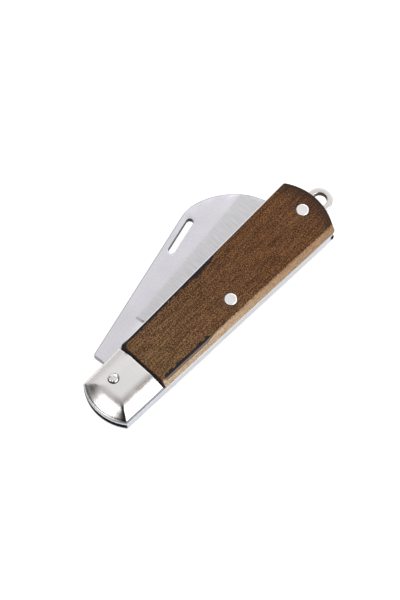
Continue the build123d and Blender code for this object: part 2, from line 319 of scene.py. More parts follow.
class Finish:
    """A material's nodes. Its places are millimetres from the pivot, as in the outlines."""

    def __init__(self, name, **values):
        self.material = bpy.data.materials.new(name)
        self.material.use_nodes = True
        self.tree = self.material.node_tree
        self.shader = self.tree.nodes["Principled BSDF"]
        for socket, value in values.items():
            self.shader.inputs[socket.replace("_", " ")].default_value = value
        coordinates = self.node("TexCoord")
        scaled = self.node("VectorMath", operation="MULTIPLY_ADD")
        self.plug(scaled.inputs[0], coordinates.outputs["Object"])
        self.plug(scaled.inputs[1], (1 / MM, 1 / MM, 1 / MM))
        self.plug(scaled.inputs[2], (-PIVOT.x, -PIVOT.y, 0))
        self.place = scaled.outputs[0]
        self.x, self.y, self.z = self.split(self.place)
        self.upright = self.math("ABSOLUTE", self.split(coordinates.outputs["Normal"])[2])
        flat = self.node("CombineXYZ")
        self.plug(flat.inputs[0], self.x)
        self.plug(flat.inputs[1], self.y)
        self.plan = flat.outputs[0]

    def node(self, kind, **settings):
        """A new shader node, with its settings."""
        node = self.tree.nodes.new("ShaderNode" + kind)
        for key, value in settings.items():
            setattr(node, key, value)
        return node

    def plug(self, socket, value):
        """Link a socket to another one, or give it a value."""
        if isinstance(value, bpy.types.NodeSocket):
            self.tree.links.new(value, socket)
        else:
            socket.default_value = value

    def split(self, vector):
        node = self.node("SeparateXYZ")
        self.plug(node.inputs[0], vector)
        return node.outputs

    def math(self, operation, *values):
        node = self.node("Math", operation=operation)
        for socket, value in zip(node.inputs, values):
            self.plug(socket, value)
        return node.outputs[0]

    def chain(self, operation, values):
        total = values[0]
        for value in values[1:]:
            total = self.math(operation, total, value)
        return total

    def plus(self, *values):
        return self.chain("ADD", values)

    def times(self, *values):
        return self.chain("MULTIPLY", values)

    def minus(self, a, b):
        return self.math("SUBTRACT", a, b)

    def least(self, a, b):
        return self.math("MINIMUM", a, b)

    def most(self, a, b):
        return self.math("MAXIMUM", a, b)

    def fade(self, value, start, end, low=0.0, high=1.0):
        """Low where the value is at start, high where it is at end, and smooth between."""
        node = self.node("MapRange", interpolation_type="SMOOTHSTEP")
        for socket, entry in zip(node.inputs, (value, start, end, low, high)):
            self.plug(socket, entry)
        return node.outputs[0]

    def stretch(self, along, across, turn=0.0, shift=0.0):
        """Places turned by an angle, then scaled along and across the new X."""
        turned = self.node("VectorRotate", rotation_type="Z_AXIS")
        self.plug(turned.inputs["Vector"], self.place)
        self.plug(turned.inputs["Angle"], -turn)
        scaled = self.node("VectorMath", operation="MULTIPLY_ADD")
        self.plug(scaled.inputs[0], turned.outputs[0])
        self.plug(scaled.inputs[1], (along, across, across))
        self.plug(scaled.inputs[2], (shift, shift, shift))
        return scaled.outputs[0]

    def away(self, point):
        """Distance in plan from a point."""
        node = self.node("VectorMath", operation="DISTANCE")
        self.plug(node.inputs[0], self.plan)
        self.plug(node.inputs[1], (point[0], point[1], 0))
        return node.outputs["Value"]

    def from_side(self, side, inset):
        """Distance inward from the handle's straight side, less the inset."""
        edge = self.math("MULTIPLY_ADD", self.x, side * FLARE, side_y(0, side, inset))
        return self.minus(edge, self.y) if side == OPEN else self.minus(self.y, edge)

    def turned(self, origin, turn):
        """Distances along and across a direction, counted from a point."""
        node = self.node("VectorRotate", rotation_type="Z_AXIS")
        self.plug(node.inputs["Vector"], self.place)
        self.plug(node.inputs["Center"], (origin[0], origin[1], 0))
        self.plug(node.inputs["Angle"], -turn)
        x, y, _ = self.split(node.outputs[0])
        return self.minus(x, origin[0]), self.minus(y, origin[1])

    def noise(self, vector, detail=2.0, rough=0.5):
        node = self.node("TexNoise")
        self.plug(node.inputs["Vector"], vector)
        self.plug(node.inputs["Scale"], 1.0)
        self.plug(node.inputs["Detail"], detail)
        self.plug(node.inputs["Roughness"], rough)
        return node.outputs[0]

    def ramp(self, value, *stops):
        """A colour ramp of (position, colour) stops."""
        node = self.node("ValToRGB")
        self.plug(node.inputs[0], value)
        set_stops(node, stops)
        return node.outputs[0]

    def mix(self, factor, a, b, blend="MIX"):
        node = self.node("Mix", data_type="RGBA", blend_type=blend)
        for index, value in ((0, factor), (6, a), (7, b)):
            if isinstance(value, tuple) and len(value) == 3:
                value = (*value, 1)
            self.plug(node.inputs[index], value)
        return node.outputs[2]

    def tint(self, factor, colour, by):
        """The colour multiplied by another, as far as the factor says."""
        return self.mix(factor, colour, self.mix(1.0, colour, by, "MULTIPLY"))

    def done(self, colour, rough, height, strength=0.5, distance=0.05):
        """Connect the colour, the roughness and a height in millimetres, and give the material."""
        bump = self.node("Bump")
        self.plug(bump.inputs["Strength"], strength)
        self.plug(bump.inputs["Distance"], distance * MM)
        self.plug(bump.inputs["Height"], height)
        self.plug(self.shader.inputs["Base Color"], colour)
        self.plug(self.shader.inputs["Roughness"], rough)
        self.plug(self.shader.inputs["Normal"], bump.outputs[0])
        return self.material


def metal(name, colour, rough, along=0.06, across=9.0, pits=0.0, scratch=0.3, mottle=0.06,
          touch=None, bump=0.35):
    """A worked metal: fine brushing one way, mottling, small pits and stray scratches."""
    f = Finish(name, Metallic=1.0)
    brushing = f.noise(f.stretch(along, across), 3, 0.6)
    cross = f.noise(f.stretch(0.25, 5.0, 1.1, 7), 2)
    clouds = f.noise(f.stretch(0.16, 0.16, 0, 3), 3, 0.6)
    specks = f.fade(f.noise(f.stretch(1.25, 1.25, 0, 11), 2), 0.27, 0.22)
    scratches = f.fade(f.noise(f.stretch(0.18, 12, 0.7, 19), 1), 0.27, 0.2)
    pale = tuple(min(1.0, c * (1 + mottle)) for c in colour)
    deep = tuple(c * (1 - mottle) for c in colour)
    tone = f.ramp(clouds, (0.3, deep), (0.7, pale))
    tone = f.mix(f.times(brushing, 0.5), tone, deep)
    tone = f.mix(f.times(specks, pits), tone, tuple(c * 0.45 for c in colour))
    polish = f.fade(clouds, 0.2, 0.8, rough * 0.85, rough * 1.15)
    polish = f.plus(polish, f.times(scratches, 0.08))
    height = f.plus(f.times(brushing, 0.5), f.times(cross, 0.15), f.times(specks, -1.2 * pits),
                    f.times(scratches, -scratch))
    if touch:
        tone, polish = touch(f, tone, polish)
    return f.done(tone, polish, height, bump, 0.012)


def painted_slot_shade(f, tone, polish):
    """Painted shade, near black, on the faces that look into the blade's slot."""
    inner = f.fade(f.math("ABSOLUTE", f.minus(f.z, MID_Z)), 1.9, 1.6)
    inner = f.times(inner, f.fade(f.upright, 0.5, 0.8))
    tone = f.mix(f.times(inner, 0.95), tone, (0.02, 0.018, 0.017))
    return tone, f.plus(polish, f.times(inner, 0.3))


def painted_rim_glint_and_shade(f, tone, polish):
    """Painted light on a rivet: a painted highlight on its filed rim, paler than its face, over
    painted shade on its side.
    """
    rim = f.fade(f.least(f.away(MIDDLE_RIVET), f.away(END_RIVET)), 1.84, 1.96)
    tone = f.mix(rim, tone, (0.98, 0.975, 0.97))
    tone = f.mix(f.fade(f.upright, 0.5, 0.2), tone, (0.05, 0.04, 0.035))
    return tone, f.plus(polish, f.times(rim, 0.3))


def painted_side_shade(f, tone, polish):
    """Painted shade on the upright sides of a pin's head."""
    side = f.fade(f.upright, 0.72, 0.35, 0, 0.93)
    return f.mix(side, tone, (0.06, 0.05, 0.045)), polish


def nose_arc():
    """Centre and radius of the bolster's nose."""
    open_y = bolster_side(BOLSTER_START_X, OPEN)
    half = (open_y - bolster_side(BOLSTER_START_X, BACK)) / 2
    radius = arc_radius(half, NOSE_BULGE)
    return (BOLSTER_START_X - NOSE_BULGE + radius, open_y - half), radius


def bolster_painted_light(f, tone, polish):
    """Painted light on the bolster: a painted shadow in the groove round the pivot, painted dark
    reflections along a ridge and on the nose bevel, a painted highlight on the end lip, and painted
    shade at the foot.
    """
    # painted shadow in the pivot's groove, heaviest on its lower-left side
    groove = f.fade(f.away((0, 0)), 2.24, 2.14, 0, 0.95)
    groove = f.times(groove, f.fade(f.plus(f.x, f.y), 1.4, -1.4, 0.3, 1.0))
    centre, radius = nose_arc()
    from_nose = f.minus(radius, f.away(centre))
    from_back = f.from_side(BACK, BOLSTER_INSET[BACK])
    from_open = f.from_side(OPEN, BOLSTER_INSET[OPEN])
    # a painted dark reflection in a wedge along the ridge between the nose's bevel and the back's
    past_ridge = f.minus(f.times(from_back, BEVEL_RATIO), from_nose)
    reach = f.least(from_nose, from_back)
    ridge_reflection = f.times(f.fade(past_ridge, -0.45, -0.1),
                    f.fade(past_ridge, f.fade(reach, 0.4, 4.5, 3.6, 0.6), 0.1),
                    f.fade(reach, 5.4, 4.2), 0.95)
    # a painted dark reflection in a blot on the nose's bevel, short of its ridge with the open
    # side's
    cloud = f.fade(f.noise(f.stretch(0.5, 0.5, 0, 91), 3, 0.65), 0.35, 0.6, 0.35, 1.0)
    past_ridge = f.minus(f.times(from_open, BEVEL_RATIO), from_nose)
    nose_reflection = f.times(f.fade(from_open, 7.0, 2.5), f.fade(from_nose, 1.4, 2.6),
                   f.fade(from_nose, 5.2, 4.2), f.times(cloud, 0.8), f.fade(past_ridge, -0.3, 0.2))
    painted_reflection = f.most(ridge_reflection, nose_reflection)
    # a painted highlight: the end lip's colour paled almost to white
    painted_lip_highlight = f.fade(f.x, BOLSTER_END_X - 0.5, BOLSTER_END_X - 0.35)
    tone = f.mix(painted_lip_highlight, tone, (0.99, 0.98, 0.97))
    # the painted dark reflections, near black
    tone = f.mix(painted_reflection, tone, (0.022, 0.018, 0.016))
    # painted shade at the steep foot of the bevels, joined with the groove's painted shadow
    foot = f.fade(f.upright, 0.5, 0.25, 0, 0.5)
    tone = f.mix(f.most(groove, foot), tone, (0.05, 0.043, 0.04))
    return tone, f.plus(polish, f.times(painted_reflection, 0.06))


def painted_hole_shade(f, tone, polish):
    """Painted shade on the wall inside the lanyard hole."""
    wall = f.times(f.fade(f.away(ring_centre()), 2.95, 2.75), f.fade(f.upright, 0.75, 0.35))
    tone = f.mix(f.times(wall, 0.93), tone, (0.05, 0.042, 0.036))
    return tone, f.plus(polish, f.times(wall, 0.3))


def bend_grain(f):
    """Shift the places sideways by a slow drift, so that the grain isn't dead straight."""
    bent = f.node("CombineXYZ")
    f.plug(bent.inputs[1], f.times(f.noise(f.stretch(0.05, 0.12, 0, 5), 2), 0.7))
    shifted = f.node("VectorMath", operation="ADD")
    f.plug(shifted.inputs[0], f.place)
    f.plug(shifted.inputs[1], bent.outputs[0])
    f.place = shifted.outputs[0]


def wood_face(f, grain, pores):
    """The oiled face: olive near the bolster and redder towards the tail."""
    top = f.ramp(grain, (0.05, (0.033, 0.013, 0.004)), (0.35, (0.072, 0.031, 0.010)),
                 (0.62, (0.135, 0.064, 0.023)), (0.95, (0.320, 0.172, 0.078)))
    top = f.mix(f.times(pores, 0.8), top, (0.020, 0.008, 0.004))
    clouds = f.noise(f.stretch(0.06, 0.10, 0, 41), 2)
    olive = f.times(f.fade(f.x, 40, 8), f.fade(clouds, 0.3, 0.7), 0.55)
    top = f.tint(olive, top, (1.10, 1.22, 1.18))
    return f.tint(f.fade(f.x, 15, 80), top, (0.90, 0.74, 0.58))


def wood_side(f, grain):
    """The raw side, with a few dark specks."""
    raw = f.ramp(grain, (0.0, (0.28, 0.184, 0.106)), (0.5, (0.435, 0.307, 0.19)),
                 (1.0, (0.61, 0.453, 0.303)))
    raw = f.tint(f.fade(f.x, 14, 92), raw, (0.70, 0.60, 0.50))
    specks = f.fade(f.noise(f.stretch(1.1, 3.4, 0, 57), 2, 0.6), 0.40, 0.33)
    return f.mix(f.times(specks, 0.75), raw, (0.07, 0.04, 0.025))


def wood_burn(f, fine):
    """How burnt the wood is, close to its tail."""
    tail_radius = arc_radius(TAIL_HALF, TAIL_BULGE)
    from_tail = f.minus(tail_radius, f.away((TAIL_X + TAIL_BULGE - tail_radius, MID_Y)))
    ragged = f.plus(from_tail, f.fade(fine, 0.2, 0.8, -0.4, 0.4))
    burnt = f.plus(f.fade(from_tail, 12, 1, 0, 0.3), f.fade(from_tail, 6, 0.6, 0, 0.42),
                   f.fade(ragged, 1.5, 0.4, 0, 0.5))
    burnt = f.times(burnt, f.fade(f.x, 86, 92), f.fade(f.upright, 0.6, 0.9, 0.2, 1.0))
    return f.least(burnt, 0.93)


def wood_stains(f, from_open, from_back, fine):
    """The black stains along the face's two edges, and a painted highlight, a pale line outside the
    back one.
    """
    wander = f.noise(f.stretch(0.45, 0.45, 0, 63), 3, 0.6)
    run = f.times(f.fade(f.x, 9, 12), f.fade(f.x, 61, 57))
    swell = f.times(f.fade(f.x, 42, 52), f.fade(f.x, 60, 57))
    width = f.plus(f.times(run, f.fade(wander, 0.3, 0.72, 0.4, 1.45)), f.times(swell, 0.6), 0.7)
    ragged = f.plus(from_open, f.fade(fine, 0.25, 0.75, -0.35, 0.35))
    open_stain = f.fade(ragged, width, f.minus(width, 0.3))
    run = f.times(f.fade(f.x, 12.2, 13.4), f.fade(f.x, 39, 33))
    width = f.times(run, f.fade(wander, 0.3, 0.7, 0.7, 1.5))
    ragged = f.plus(from_back, f.fade(fine, 0.25, 0.75, -0.2, 0.2))
    lip = f.plus(from_back, f.times(run, 0.55))
    back_stain = f.times(f.fade(ragged, width, f.minus(width, 0.25)), f.fade(lip, -0.05, 0.08),
                         f.fade(run, 0.02, 0.15))
    stain = f.most(f.times(open_stain, f.fade(f.upright, 0.35, 0.75)), back_stain)
    back_edge_highlight = f.times(f.fade(lip, 0.14, 0.22), f.fade(lip, 0.48, 0.38), run, 0.85)
    return stain, back_edge_highlight


def add_wood(name):
    """Dark oiled wood with a fine straight grain, raw sides and burnt, stained edges."""
    f = Finish(name, Metallic=0.0, IOR=1.33, Specular_IOR_Level=0.35)
    bend_grain(f)
    streaks = f.noise(f.stretch(0.16, 3.4), 1, 0.6)
    bands = f.noise(f.stretch(0.04, 1.3, 0, 13), 2, 0.55)
    fibres = f.noise(f.stretch(1.9, 3.7, 0, 21), 1, 0.5)
    pores = f.fade(f.noise(f.stretch(0.8, 3.4, 0.02, 31), 1, 0.5), 0.40, 0.34)
    fine = f.noise(f.stretch(1.6, 3.0, 0, 71), 3, 0.65)
    grain = f.plus(f.times(fibres, 0.64), f.times(bands, 0.08), f.times(streaks, 0.28))
    grain = f.fade(grain, 0.37, 0.63)
    from_open = f.from_side(OPEN, FACE_INSET[OPEN])
    from_back = f.from_side(BACK, FACE_INSET[BACK])
    # the leaning sides are raw, and the back one only past a ragged line
    past_line = f.fade(f.plus(from_back, f.fade(fine, 0.25, 0.75, -0.5, 0.3)), 0.0, -0.25)
    raw = f.most(past_line, f.fade(from_back, 1.2, 1.6))
    raw = f.times(f.fade(f.upright, 0.93, 0.86), raw)
    wood = f.mix(raw, wood_face(f, grain, pores), wood_side(f, grain))
    wood = f.mix(wood_burn(f, fine), wood, (0.024, 0.010, 0.006))
    stain, back_edge_highlight = wood_stains(f, from_open, from_back, fine)
    wood = f.mix(f.times(stain, 0.94), wood, (0.010, 0.008, 0.010))
    # a painted highlight, near white, along the open side's upper edge
    painted_edge_glint = f.times(f.fade(from_open, 0.46, 0.34), f.fade(f.upright, 0.15, 0.3),
                   f.fade(f.x, 11, 16))
    wood = f.mix(f.times(painted_edge_glint, 0.95), wood, (0.98, 0.98, 1.0))
    # painted highlight: a pale line along the back edge, outside its stain
    wood = f.mix(back_edge_highlight, wood, (0.24, 0.18, 0.165))
    # the end by the bolster painted near black: painted shade of the gap, over burnt wood
    start = f.plus(f.x, f.fade(fine, 0.25, 0.75, -0.2, 0.2))
    start = f.fade(start, WOOD_START_X + 0.8, WOOD_START_X + 0.45, 0, 0.96)
    wood = f.mix(start, wood, (0.010, 0.006, 0.004))
    # painted shade: the wood darkened in a ring round each rivet head
    for rivet in (MIDDLE_RIVET, END_RIVET):
        wood = f.mix(f.fade(f.away(rivet), 2.85, 2.5, 0, 0.9), wood, (0.018, 0.010, 0.007))
    rough = f.plus(f.fade(grain, 0, 1, 0.52, 0.68), f.times(raw, 0.15))
    height = f.plus(f.times(streaks, 0.5), f.times(pores, -0.6), f.times(fibres, 0.35))
    return f.done(wood, rough, height, 0.45, 0.05)


def blade_rim(f, from_spine, far=90):
    """Distance inward from the blade's spine, belly and shoulder. The belly is moved far away
    where the spine is straight, and the shoulder where the handle hides it."""
    from_belly = f.minus(BELLY_RADIUS, f.away(BELLY))
    from_belly = f.plus(from_belly, f.fade(f.x, 62, 55, 0, far))
    from_step = f.math("MULTIPLY_ADD", f.x, cos(OPEN_TURN), -SHOULDER_ALONG)
    from_step = f.plus(from_step, f.times(f.y, sin(OPEN_TURN)))
    from_step = f.plus(from_step, f.fade(f.y, 9, 8, 0, far))
    return f.least(f.least(from_spine, from_belly), from_step)


def blade_metal(name):
    """Satin blade steel, with the ground bevel's lines running square to the edge."""
    f = Finish(name, Metallic=1.0)
    brushing = f.noise(f.stretch(0.05, 8.0, EDGE_TURN), 3, 0.6)
    clouds = f.noise(f.stretch(0.12, 0.12, 0, 3), 3, 0.55)
    grit = f.noise(f.stretch(3.0, 3.0, 0, 29), 2)
    lines = f.noise(f.stretch(3.4, 0.13, EDGE_TURN, 17), 2, 0.8)
    along, across = f.turned(HEEL, EDGE_TURN)
    # the flats
    colour = f.ramp(clouds, (0.3, (0.755, 0.742, 0.780)), (0.7, (0.815, 0.802, 0.842)))
    colour = f.mix(f.times(brushing, 0.35), colour, (0.70, 0.69, 0.725))
    grain = f.fade(f.noise(f.stretch(1.5, 1.9, EDGE_TURN, 53), 1, 0.5), 0.3, 0.7)
    colour = f.mix(f.times(grain, 0.3), colour, (0.58, 0.57, 0.60))
    # the ground bevel
    feather = f.plus(across, f.fade(lines, 0.3, 0.7, -0.18, 0.18))
    ground = f.times(f.fade(feather, GRIND_WIDTH + 0.5, GRIND_WIDTH - 0.7),
                     f.fade(along, GRIND_START - 0.1, GRIND_START + 0.15))
    bevel = f.ramp(lines, (0.32, (0.59, 0.585, 0.595)), (0.52, (0.69, 0.68, 0.695)),
                   (0.70, (0.775, 0.765, 0.785)))
    colour = f.mix(ground, colour, bevel)
    specks = f.fade(f.noise(f.stretch(1.8, 1.8, 0, 47), 2), 0.26, 0.19)
    colour = f.mix(f.times(specks, 0.35), colour, (0.35, 0.34, 0.36))
    # painted shade: the walls darkened, and a dark tick painted at the plunge where the bevel
    # begins
    colour = f.mix(f.fade(f.upright, 0.985, 0.8, 0, 0.85), colour, (0.13, 0.13, 0.138))
    plunge = f.times(f.fade(along, GRIND_START - 0.9, GRIND_START - 0.5),
                     f.fade(along, GRIND_START + 2.2, GRIND_START + 1.6),
                     f.fade(f.upright, 0.999, 0.99))
    lip = f.times(f.fade(along, GRIND_START - 0.8, GRIND_START - 0.4),
                  f.fade(along, GRIND_START + 0.5, GRIND_START + 0.2))
    plunge = f.times(f.most(plunge, lip), f.fade(across, GRIND_WIDTH + 0.6, GRIND_WIDTH))
    colour = f.mix(f.times(plunge, 0.3), colour, (0.34, 0.335, 0.34))
    # painted shade on the steep faces within the ground bevel, at the edge land
    land = f.times(ground, f.fade(f.upright, 0.97, 0.85))
    colour = f.mix(land, colour, (0.16, 0.155, 0.16))
    # painted shade: a thin grey outline on the rounded rim, and near black inside the nick
    nick_along, nick_across = f.turned(NICK, SPINE_TURN)
    spine_across = ((SHOULDER[1] - NICK[1]) * cos(SPINE_TURN)
                    - (SHOULDER[0] - NICK[0]) * sin(SPINE_TURN))
    rim = blade_rim(f, f.minus(spine_across, nick_across))
    colour = f.mix(f.fade(rim, 0.5, 0.2, 0, 0.6), colour, (0.30, 0.298, 0.31))
    in_nick = f.times(f.fade(f.math("ABSOLUTE", nick_across), 1.7, 1.5),
                      f.fade(f.math("ABSOLUTE", nick_along), 8.3, 8.1))
    nick_painted_shade = f.times(in_nick, f.fade(f.upright, 0.85, 0.6), 0.96)
    colour = f.mix(nick_painted_shade, colour, (0.012, 0.012, 0.013))
    rough = f.plus(f.times(ground, -0.08), f.times(plunge, 0.45),
                   f.fade(clouds, 0.2, 0.8, 0.36, 0.44))
    height = f.plus(f.times(brushing, 0.3), f.times(grit, 0.3), f.times(ground, lines, 0.9))
    return f.done(colour, rough, height, 0.4, 0.014)


# ---- blade ----------------------------------------------------------------------------------
def blade_outline():
    """The sheepfoot with its tang, anticlockwise from the heel."""
    down = Vector((sin(SPINE_TURN), -cos(SPINE_TURN)))
    ahead = Vector((cos(SPINE_TURN), sin(SPINE_TURN)))
    start = Vector(SHOULDER) + down * SPINE_BLEND - Vector(BELLY)
    gap = BELLY_RADIUS - SPINE_BLEND
    run = -start.dot(ahead) + sqrt(start.dot(ahead) ** 2 - start.length_squared + gap * gap)
    centre = Vector(BELLY) + start + ahead * run
    meet = angle_of(BELLY, centre)
    cam_start = angle_of((0, 0), blade_point(-TANG_HALF, TANG_FLAT)) % 360
    cam_end = angle_of((0, 0), (-TANG_HALF, -TANG_FLAT)) % 360
    inner = blade_point(SHOULDER_ALONG, TANG_FLAT)
    spine = tuple(centre - down * SPINE_BLEND)
    corner = rounded([inner, SHOULDER, spine], {1: SHOULDER_ROUND}, 6)[1:-1]
    outline = [HEEL] + arc(BELLY, BELLY_RADIUS, POINT_ANGLE, meet, 1.5)
    outline += arc(centre, SPINE_BLEND, meet, degrees(SPINE_TURN) + 90, 2)[1:]
    outline += corner[::-1] + [inner]
    outline += arc((0, 0), hypot(TANG_FLAT, TANG_HALF), cam_start, cam_end)
    return outline + [KICK, CHOIL]


def soft_least(values, blend):
    """The least of the values, with the change from one to another rounded off."""
    least = values[0]
    for value in values[1:]:
        gap = max(0.0, blend - abs(least - value)) / blend
        least = min(least, value) - gap * gap * blend / 4
    return least


def blade_half(x, y):
    """Half the blade's thickness at a place: full, or running down to the ground edge."""
    along = (x - HEEL[0]) * cos(EDGE_TURN) + (y - HEEL[1]) * sin(EDGE_TURN)
    across = (y - HEEL[1]) * cos(EDGE_TURN) - (x - HEEL[0]) * sin(EDGE_TURN)
    thin = EDGE_LAND / 2 + (BLADE_HALF - EDGE_LAND / 2) * max(0.0, across) / GRIND_WIDTH
    thin = soft_least([thin, BLADE_HALF], 0.09)
    plunge = max(0.0, min(1.0, (along - GRIND_START) / PLUNGE_LENGTH))
    plunge = plunge * plunge * (3 - 2 * plunge)
    return BLADE_HALF + (thin - BLADE_HALF) * plunge


def nick_outline():
    """The nail nick, a slot with round ends along the spine."""
    turn = degrees(SPINE_TURN)
    reach = (NICK_LENGTH - NICK_WIDTH) / 2
    far = (NICK[0] + reach * cos(SPINE_TURN), NICK[1] + reach * sin(SPINE_TURN))
    near = (NICK[0] - reach * cos(SPINE_TURN), NICK[1] - reach * sin(SPINE_TURN))
    outline = arc(far, NICK_WIDTH / 2, turn - 90, turn + 90, 10)
    return outline + arc(near, NICK_WIDTH / 2, turn + 90, turn + 270, 10)


def make_blade():
    """The blade: a plate sliced along and across its edge, then thinned to the ground bevel."""
    loops = [blade_outline(), nick_outline(), circle((0, 0), TURNING_HOLE, 48)]
    mesh = plate(loops, MID_Z - BLADE_HALF, MID_Z + BLADE_HALF, 0.13)
    ahead = Vector((cos(EDGE_TURN), sin(EDGE_TURN), 0))
    across = Vector((-sin(EDGE_TURN), cos(EDGE_TURN), 0))
    heel = place(*HEEL, 0)
    cuts = [(ahead, GRIND_START + PLUNGE_LENGTH * i / 6) for i in range(7)]
    cuts += [(ahead, run) for run in range(16, 80, 6)]
    widths = (0.0, 3, 6, 9, 11.4, 12, 12.6, 13, 13.4, 13.8, 14.2, 14.6, 15.0, 15.6, 18)
    cuts += [(across, width) for width in widths]
    for normal, distance in cuts:
        bmesh.ops.bisect_plane(
            mesh, geom=mesh.verts[:] + mesh.edges[:] + mesh.faces[:], dist=1e-7,
            plane_co=heel + normal * distance * MM, plane_no=normal,
        )
    for vertex in mesh.verts:
        x, y = vertex.co.x / MM - PIVOT.x, vertex.co.y / MM - PIVOT.y
        level = (vertex.co.z / MM - MID_Z) / BLADE_HALF
        vertex.co.z = (MID_Z + level * blade_half(x, y)) * MM
    return mesh


# ---- handle ---------------------------------------------------------------------------------
def make_liner(low_z, high_z):
    """A liner, with its holes for the pins and studs."""
    starts = [(NOSE_X, side_y(NOSE_X, side)) for side in (BACK, OPEN)]
    ends = [(LINER_TAIL_X, side_y(LINER_TAIL_X, side)) for side in (BACK, OPEN)]
    loops = [bowed(ends[0], ends[1], TAIL_BULGE) + bowed(starts[1], starts[0], NOSE_BULGE)]
    loops += [circle(centre, FIXED_HOLE, 48) for centre in ((0, 0), MIDDLE_RIVET, END_RIVET)]
    loops.append(circle(TAIL_PIN, TAIL_HOLE, 48))
    loops += [circle(centre, STUD_HOLE, 48) for centre in STUDS]
    return plate(loops, low_z, high_z, 0.1)


def wood_outline(end_x, insets, tail_radius=1.6, start_radius=0.9):
    """A wood scale's outline, with the corners rounded in plan."""
    back = [(x, side_y(x, BACK, insets[BACK])) for x in (WOOD_START_X, end_x)]
    front = [(x, side_y(x, OPEN, insets[OPEN])) for x in (end_x, WOOD_START_X)]
    big = arc_radius((front[0][1] - back[1][1]) / 2, TAIL_BULGE)
    centre = Vector((end_x + TAIL_BULGE - big, (front[0][1] + back[1][1]) / 2))
    corners = []
    for side, corner in ((BACK, back[1]), (OPEN, front[0])):
        lean = Vector((1, side * FLARE)).normalized()
        inward = Vector((lean.y, -lean.x)) * side
        base = Vector(corner) + inward * tail_radius - centre
        reach = (big - tail_radius) ** 2
        run = -base.dot(lean) + sqrt(base.dot(lean) ** 2 - base.length_squared + reach)
        hub = centre + base + lean * run
        corners.append((hub, degrees(atan2(-inward.y, -inward.x)), angle_of(centre, hub)))
    (low, low_side, low_end), (high, high_side, high_end) = corners
    outline = even_arc(low, tail_radius, low_side, low_end, 14)
    outline += even_arc(centre, big, low_end, high_end, 62)[1:-1]
    outline += even_arc(high, tail_radius, high_end, high_side, 14)
    start = [outline[-1], front[1], back[0], outline[0]]
    return outline + rounded(start, {1: start_radius, 2: start_radius})[1:-1]


def make_scale(seat_z, face_z):
    """A wood scale, whose sides lean in from its seat to its face."""
    holes = [wound(circle(rivet, WOOD_HOLE), False) for rivet in (MIDDLE_RIVET, END_RIVET)]
    seat = [wound(wood_outline(TAIL_X, SEAT_INSET))] + holes
    face = [wound(wood_outline(TAIL_X - 0.05, FACE_INSET))] + holes
    return slab(seat, face, seat_z, face_z, 0.12, 0.42, 5)


def bolster_height(x, y, nose):
    """Height over the bolster's seat: a flat with three bevels, all softly rounded."""
    centre, radius = nose
    from_nose = radius - hypot(x - centre[0], y - centre[1])
    from_back, from_open = y - bolster_side(x, BACK), bolster_side(x, OPEN) - y
    faces = []
    for distance, width in ((from_nose, NOSE_BEVEL), (from_back, SIDE_BEVEL),
                            (from_open, SIDE_BEVEL)):
        inside = max(0.0, distance)
        bevel = BOLSTER_RIM + (BOLSTER_HEIGHT - BOLSTER_RIM) * inside / width
        faces.append(soft_least([bevel, 0.1 + 1.3 * inside], 0.4))
    surface = soft_least([BOLSTER_HEIGHT, soft_least(faces, 0.38)], 1.75)
    return soft_least([surface, 3.46 + 0.21 * max(0.0, BOLSTER_END_X - x)], 0.05)


def make_bolster(seat_z, outward, rows=150, columns=160):
    """A dense sheet over the bolster's plan, closed by its skirt and seat."""
    nose = centre, radius = nose_arc()
    low_y = bolster_side(BOLSTER_START_X, BACK)
    width = bolster_side(BOLSTER_START_X, OPEN) - low_y
    mesh = bmesh.new()
    tops, feet = [], []
    for j in range(rows + 1):
        swing = cos(pi * j / rows)
        v = 0.5 - 0.5 * swing * (0.55 + 0.45 * abs(swing))
        start = centre[0] - sqrt(radius ** 2 - (low_y + width * v - centre[1]) ** 2)
        top, foot = [], []
        for i in range(columns + 1):
            u = 1 - (1 - i / columns) ** 1.35
            x = start + (BOLSTER_END_X - start) * u
            y = bolster_side(x, BACK) * (1 - v) + bolster_side(x, OPEN) * v
            height = max(BOLSTER_RIM, bolster_height(x, y, nose))
            top.append(mesh.verts.new(place(x, y, seat_z + outward * height)))
            foot.append(mesh.verts.new(place(x, y, seat_z)))
        tops.append(top)
        feet.append(foot)
    for j in range(rows):
        for i in range(columns):
            mesh.faces.new((tops[j][i], tops[j][i + 1], tops[j + 1][i + 1], tops[j + 1][i]))
    edge = [(0, i) for i in range(columns)] + [(j, columns) for j in range(rows)]
    edge += [(rows, i) for i in range(columns, 0, -1)] + [(j, 0) for j in range(rows, 0, -1)]
    for (j, i), (k, m) in zip(edge, edge[1:] + edge[:1]):
        mesh.faces.new((feet[j][i], feet[k][m], tops[k][m], tops[j][i]))
    mesh.faces.new([feet[j][i] for j, i in edge])
    bmesh.ops.delete(mesh, geom=[v for v in mesh.verts if not v.link_faces], context="VERTS")
    return mesh


def cut_groove(cap, flat_z, outward, material):
    """Cut the round groove that the pivot's head sits in."""
    depths = [(0.0, 0.6), (2.12, 0.6), (2.12, -0.22), (2.02, -0.34), (0.0, -0.34)]
    groove = lathe((0, 0), [(r, flat_z + outward * depth) for r, depth in depths], 80)
    cut(cap, add_object("groove", groove, material))


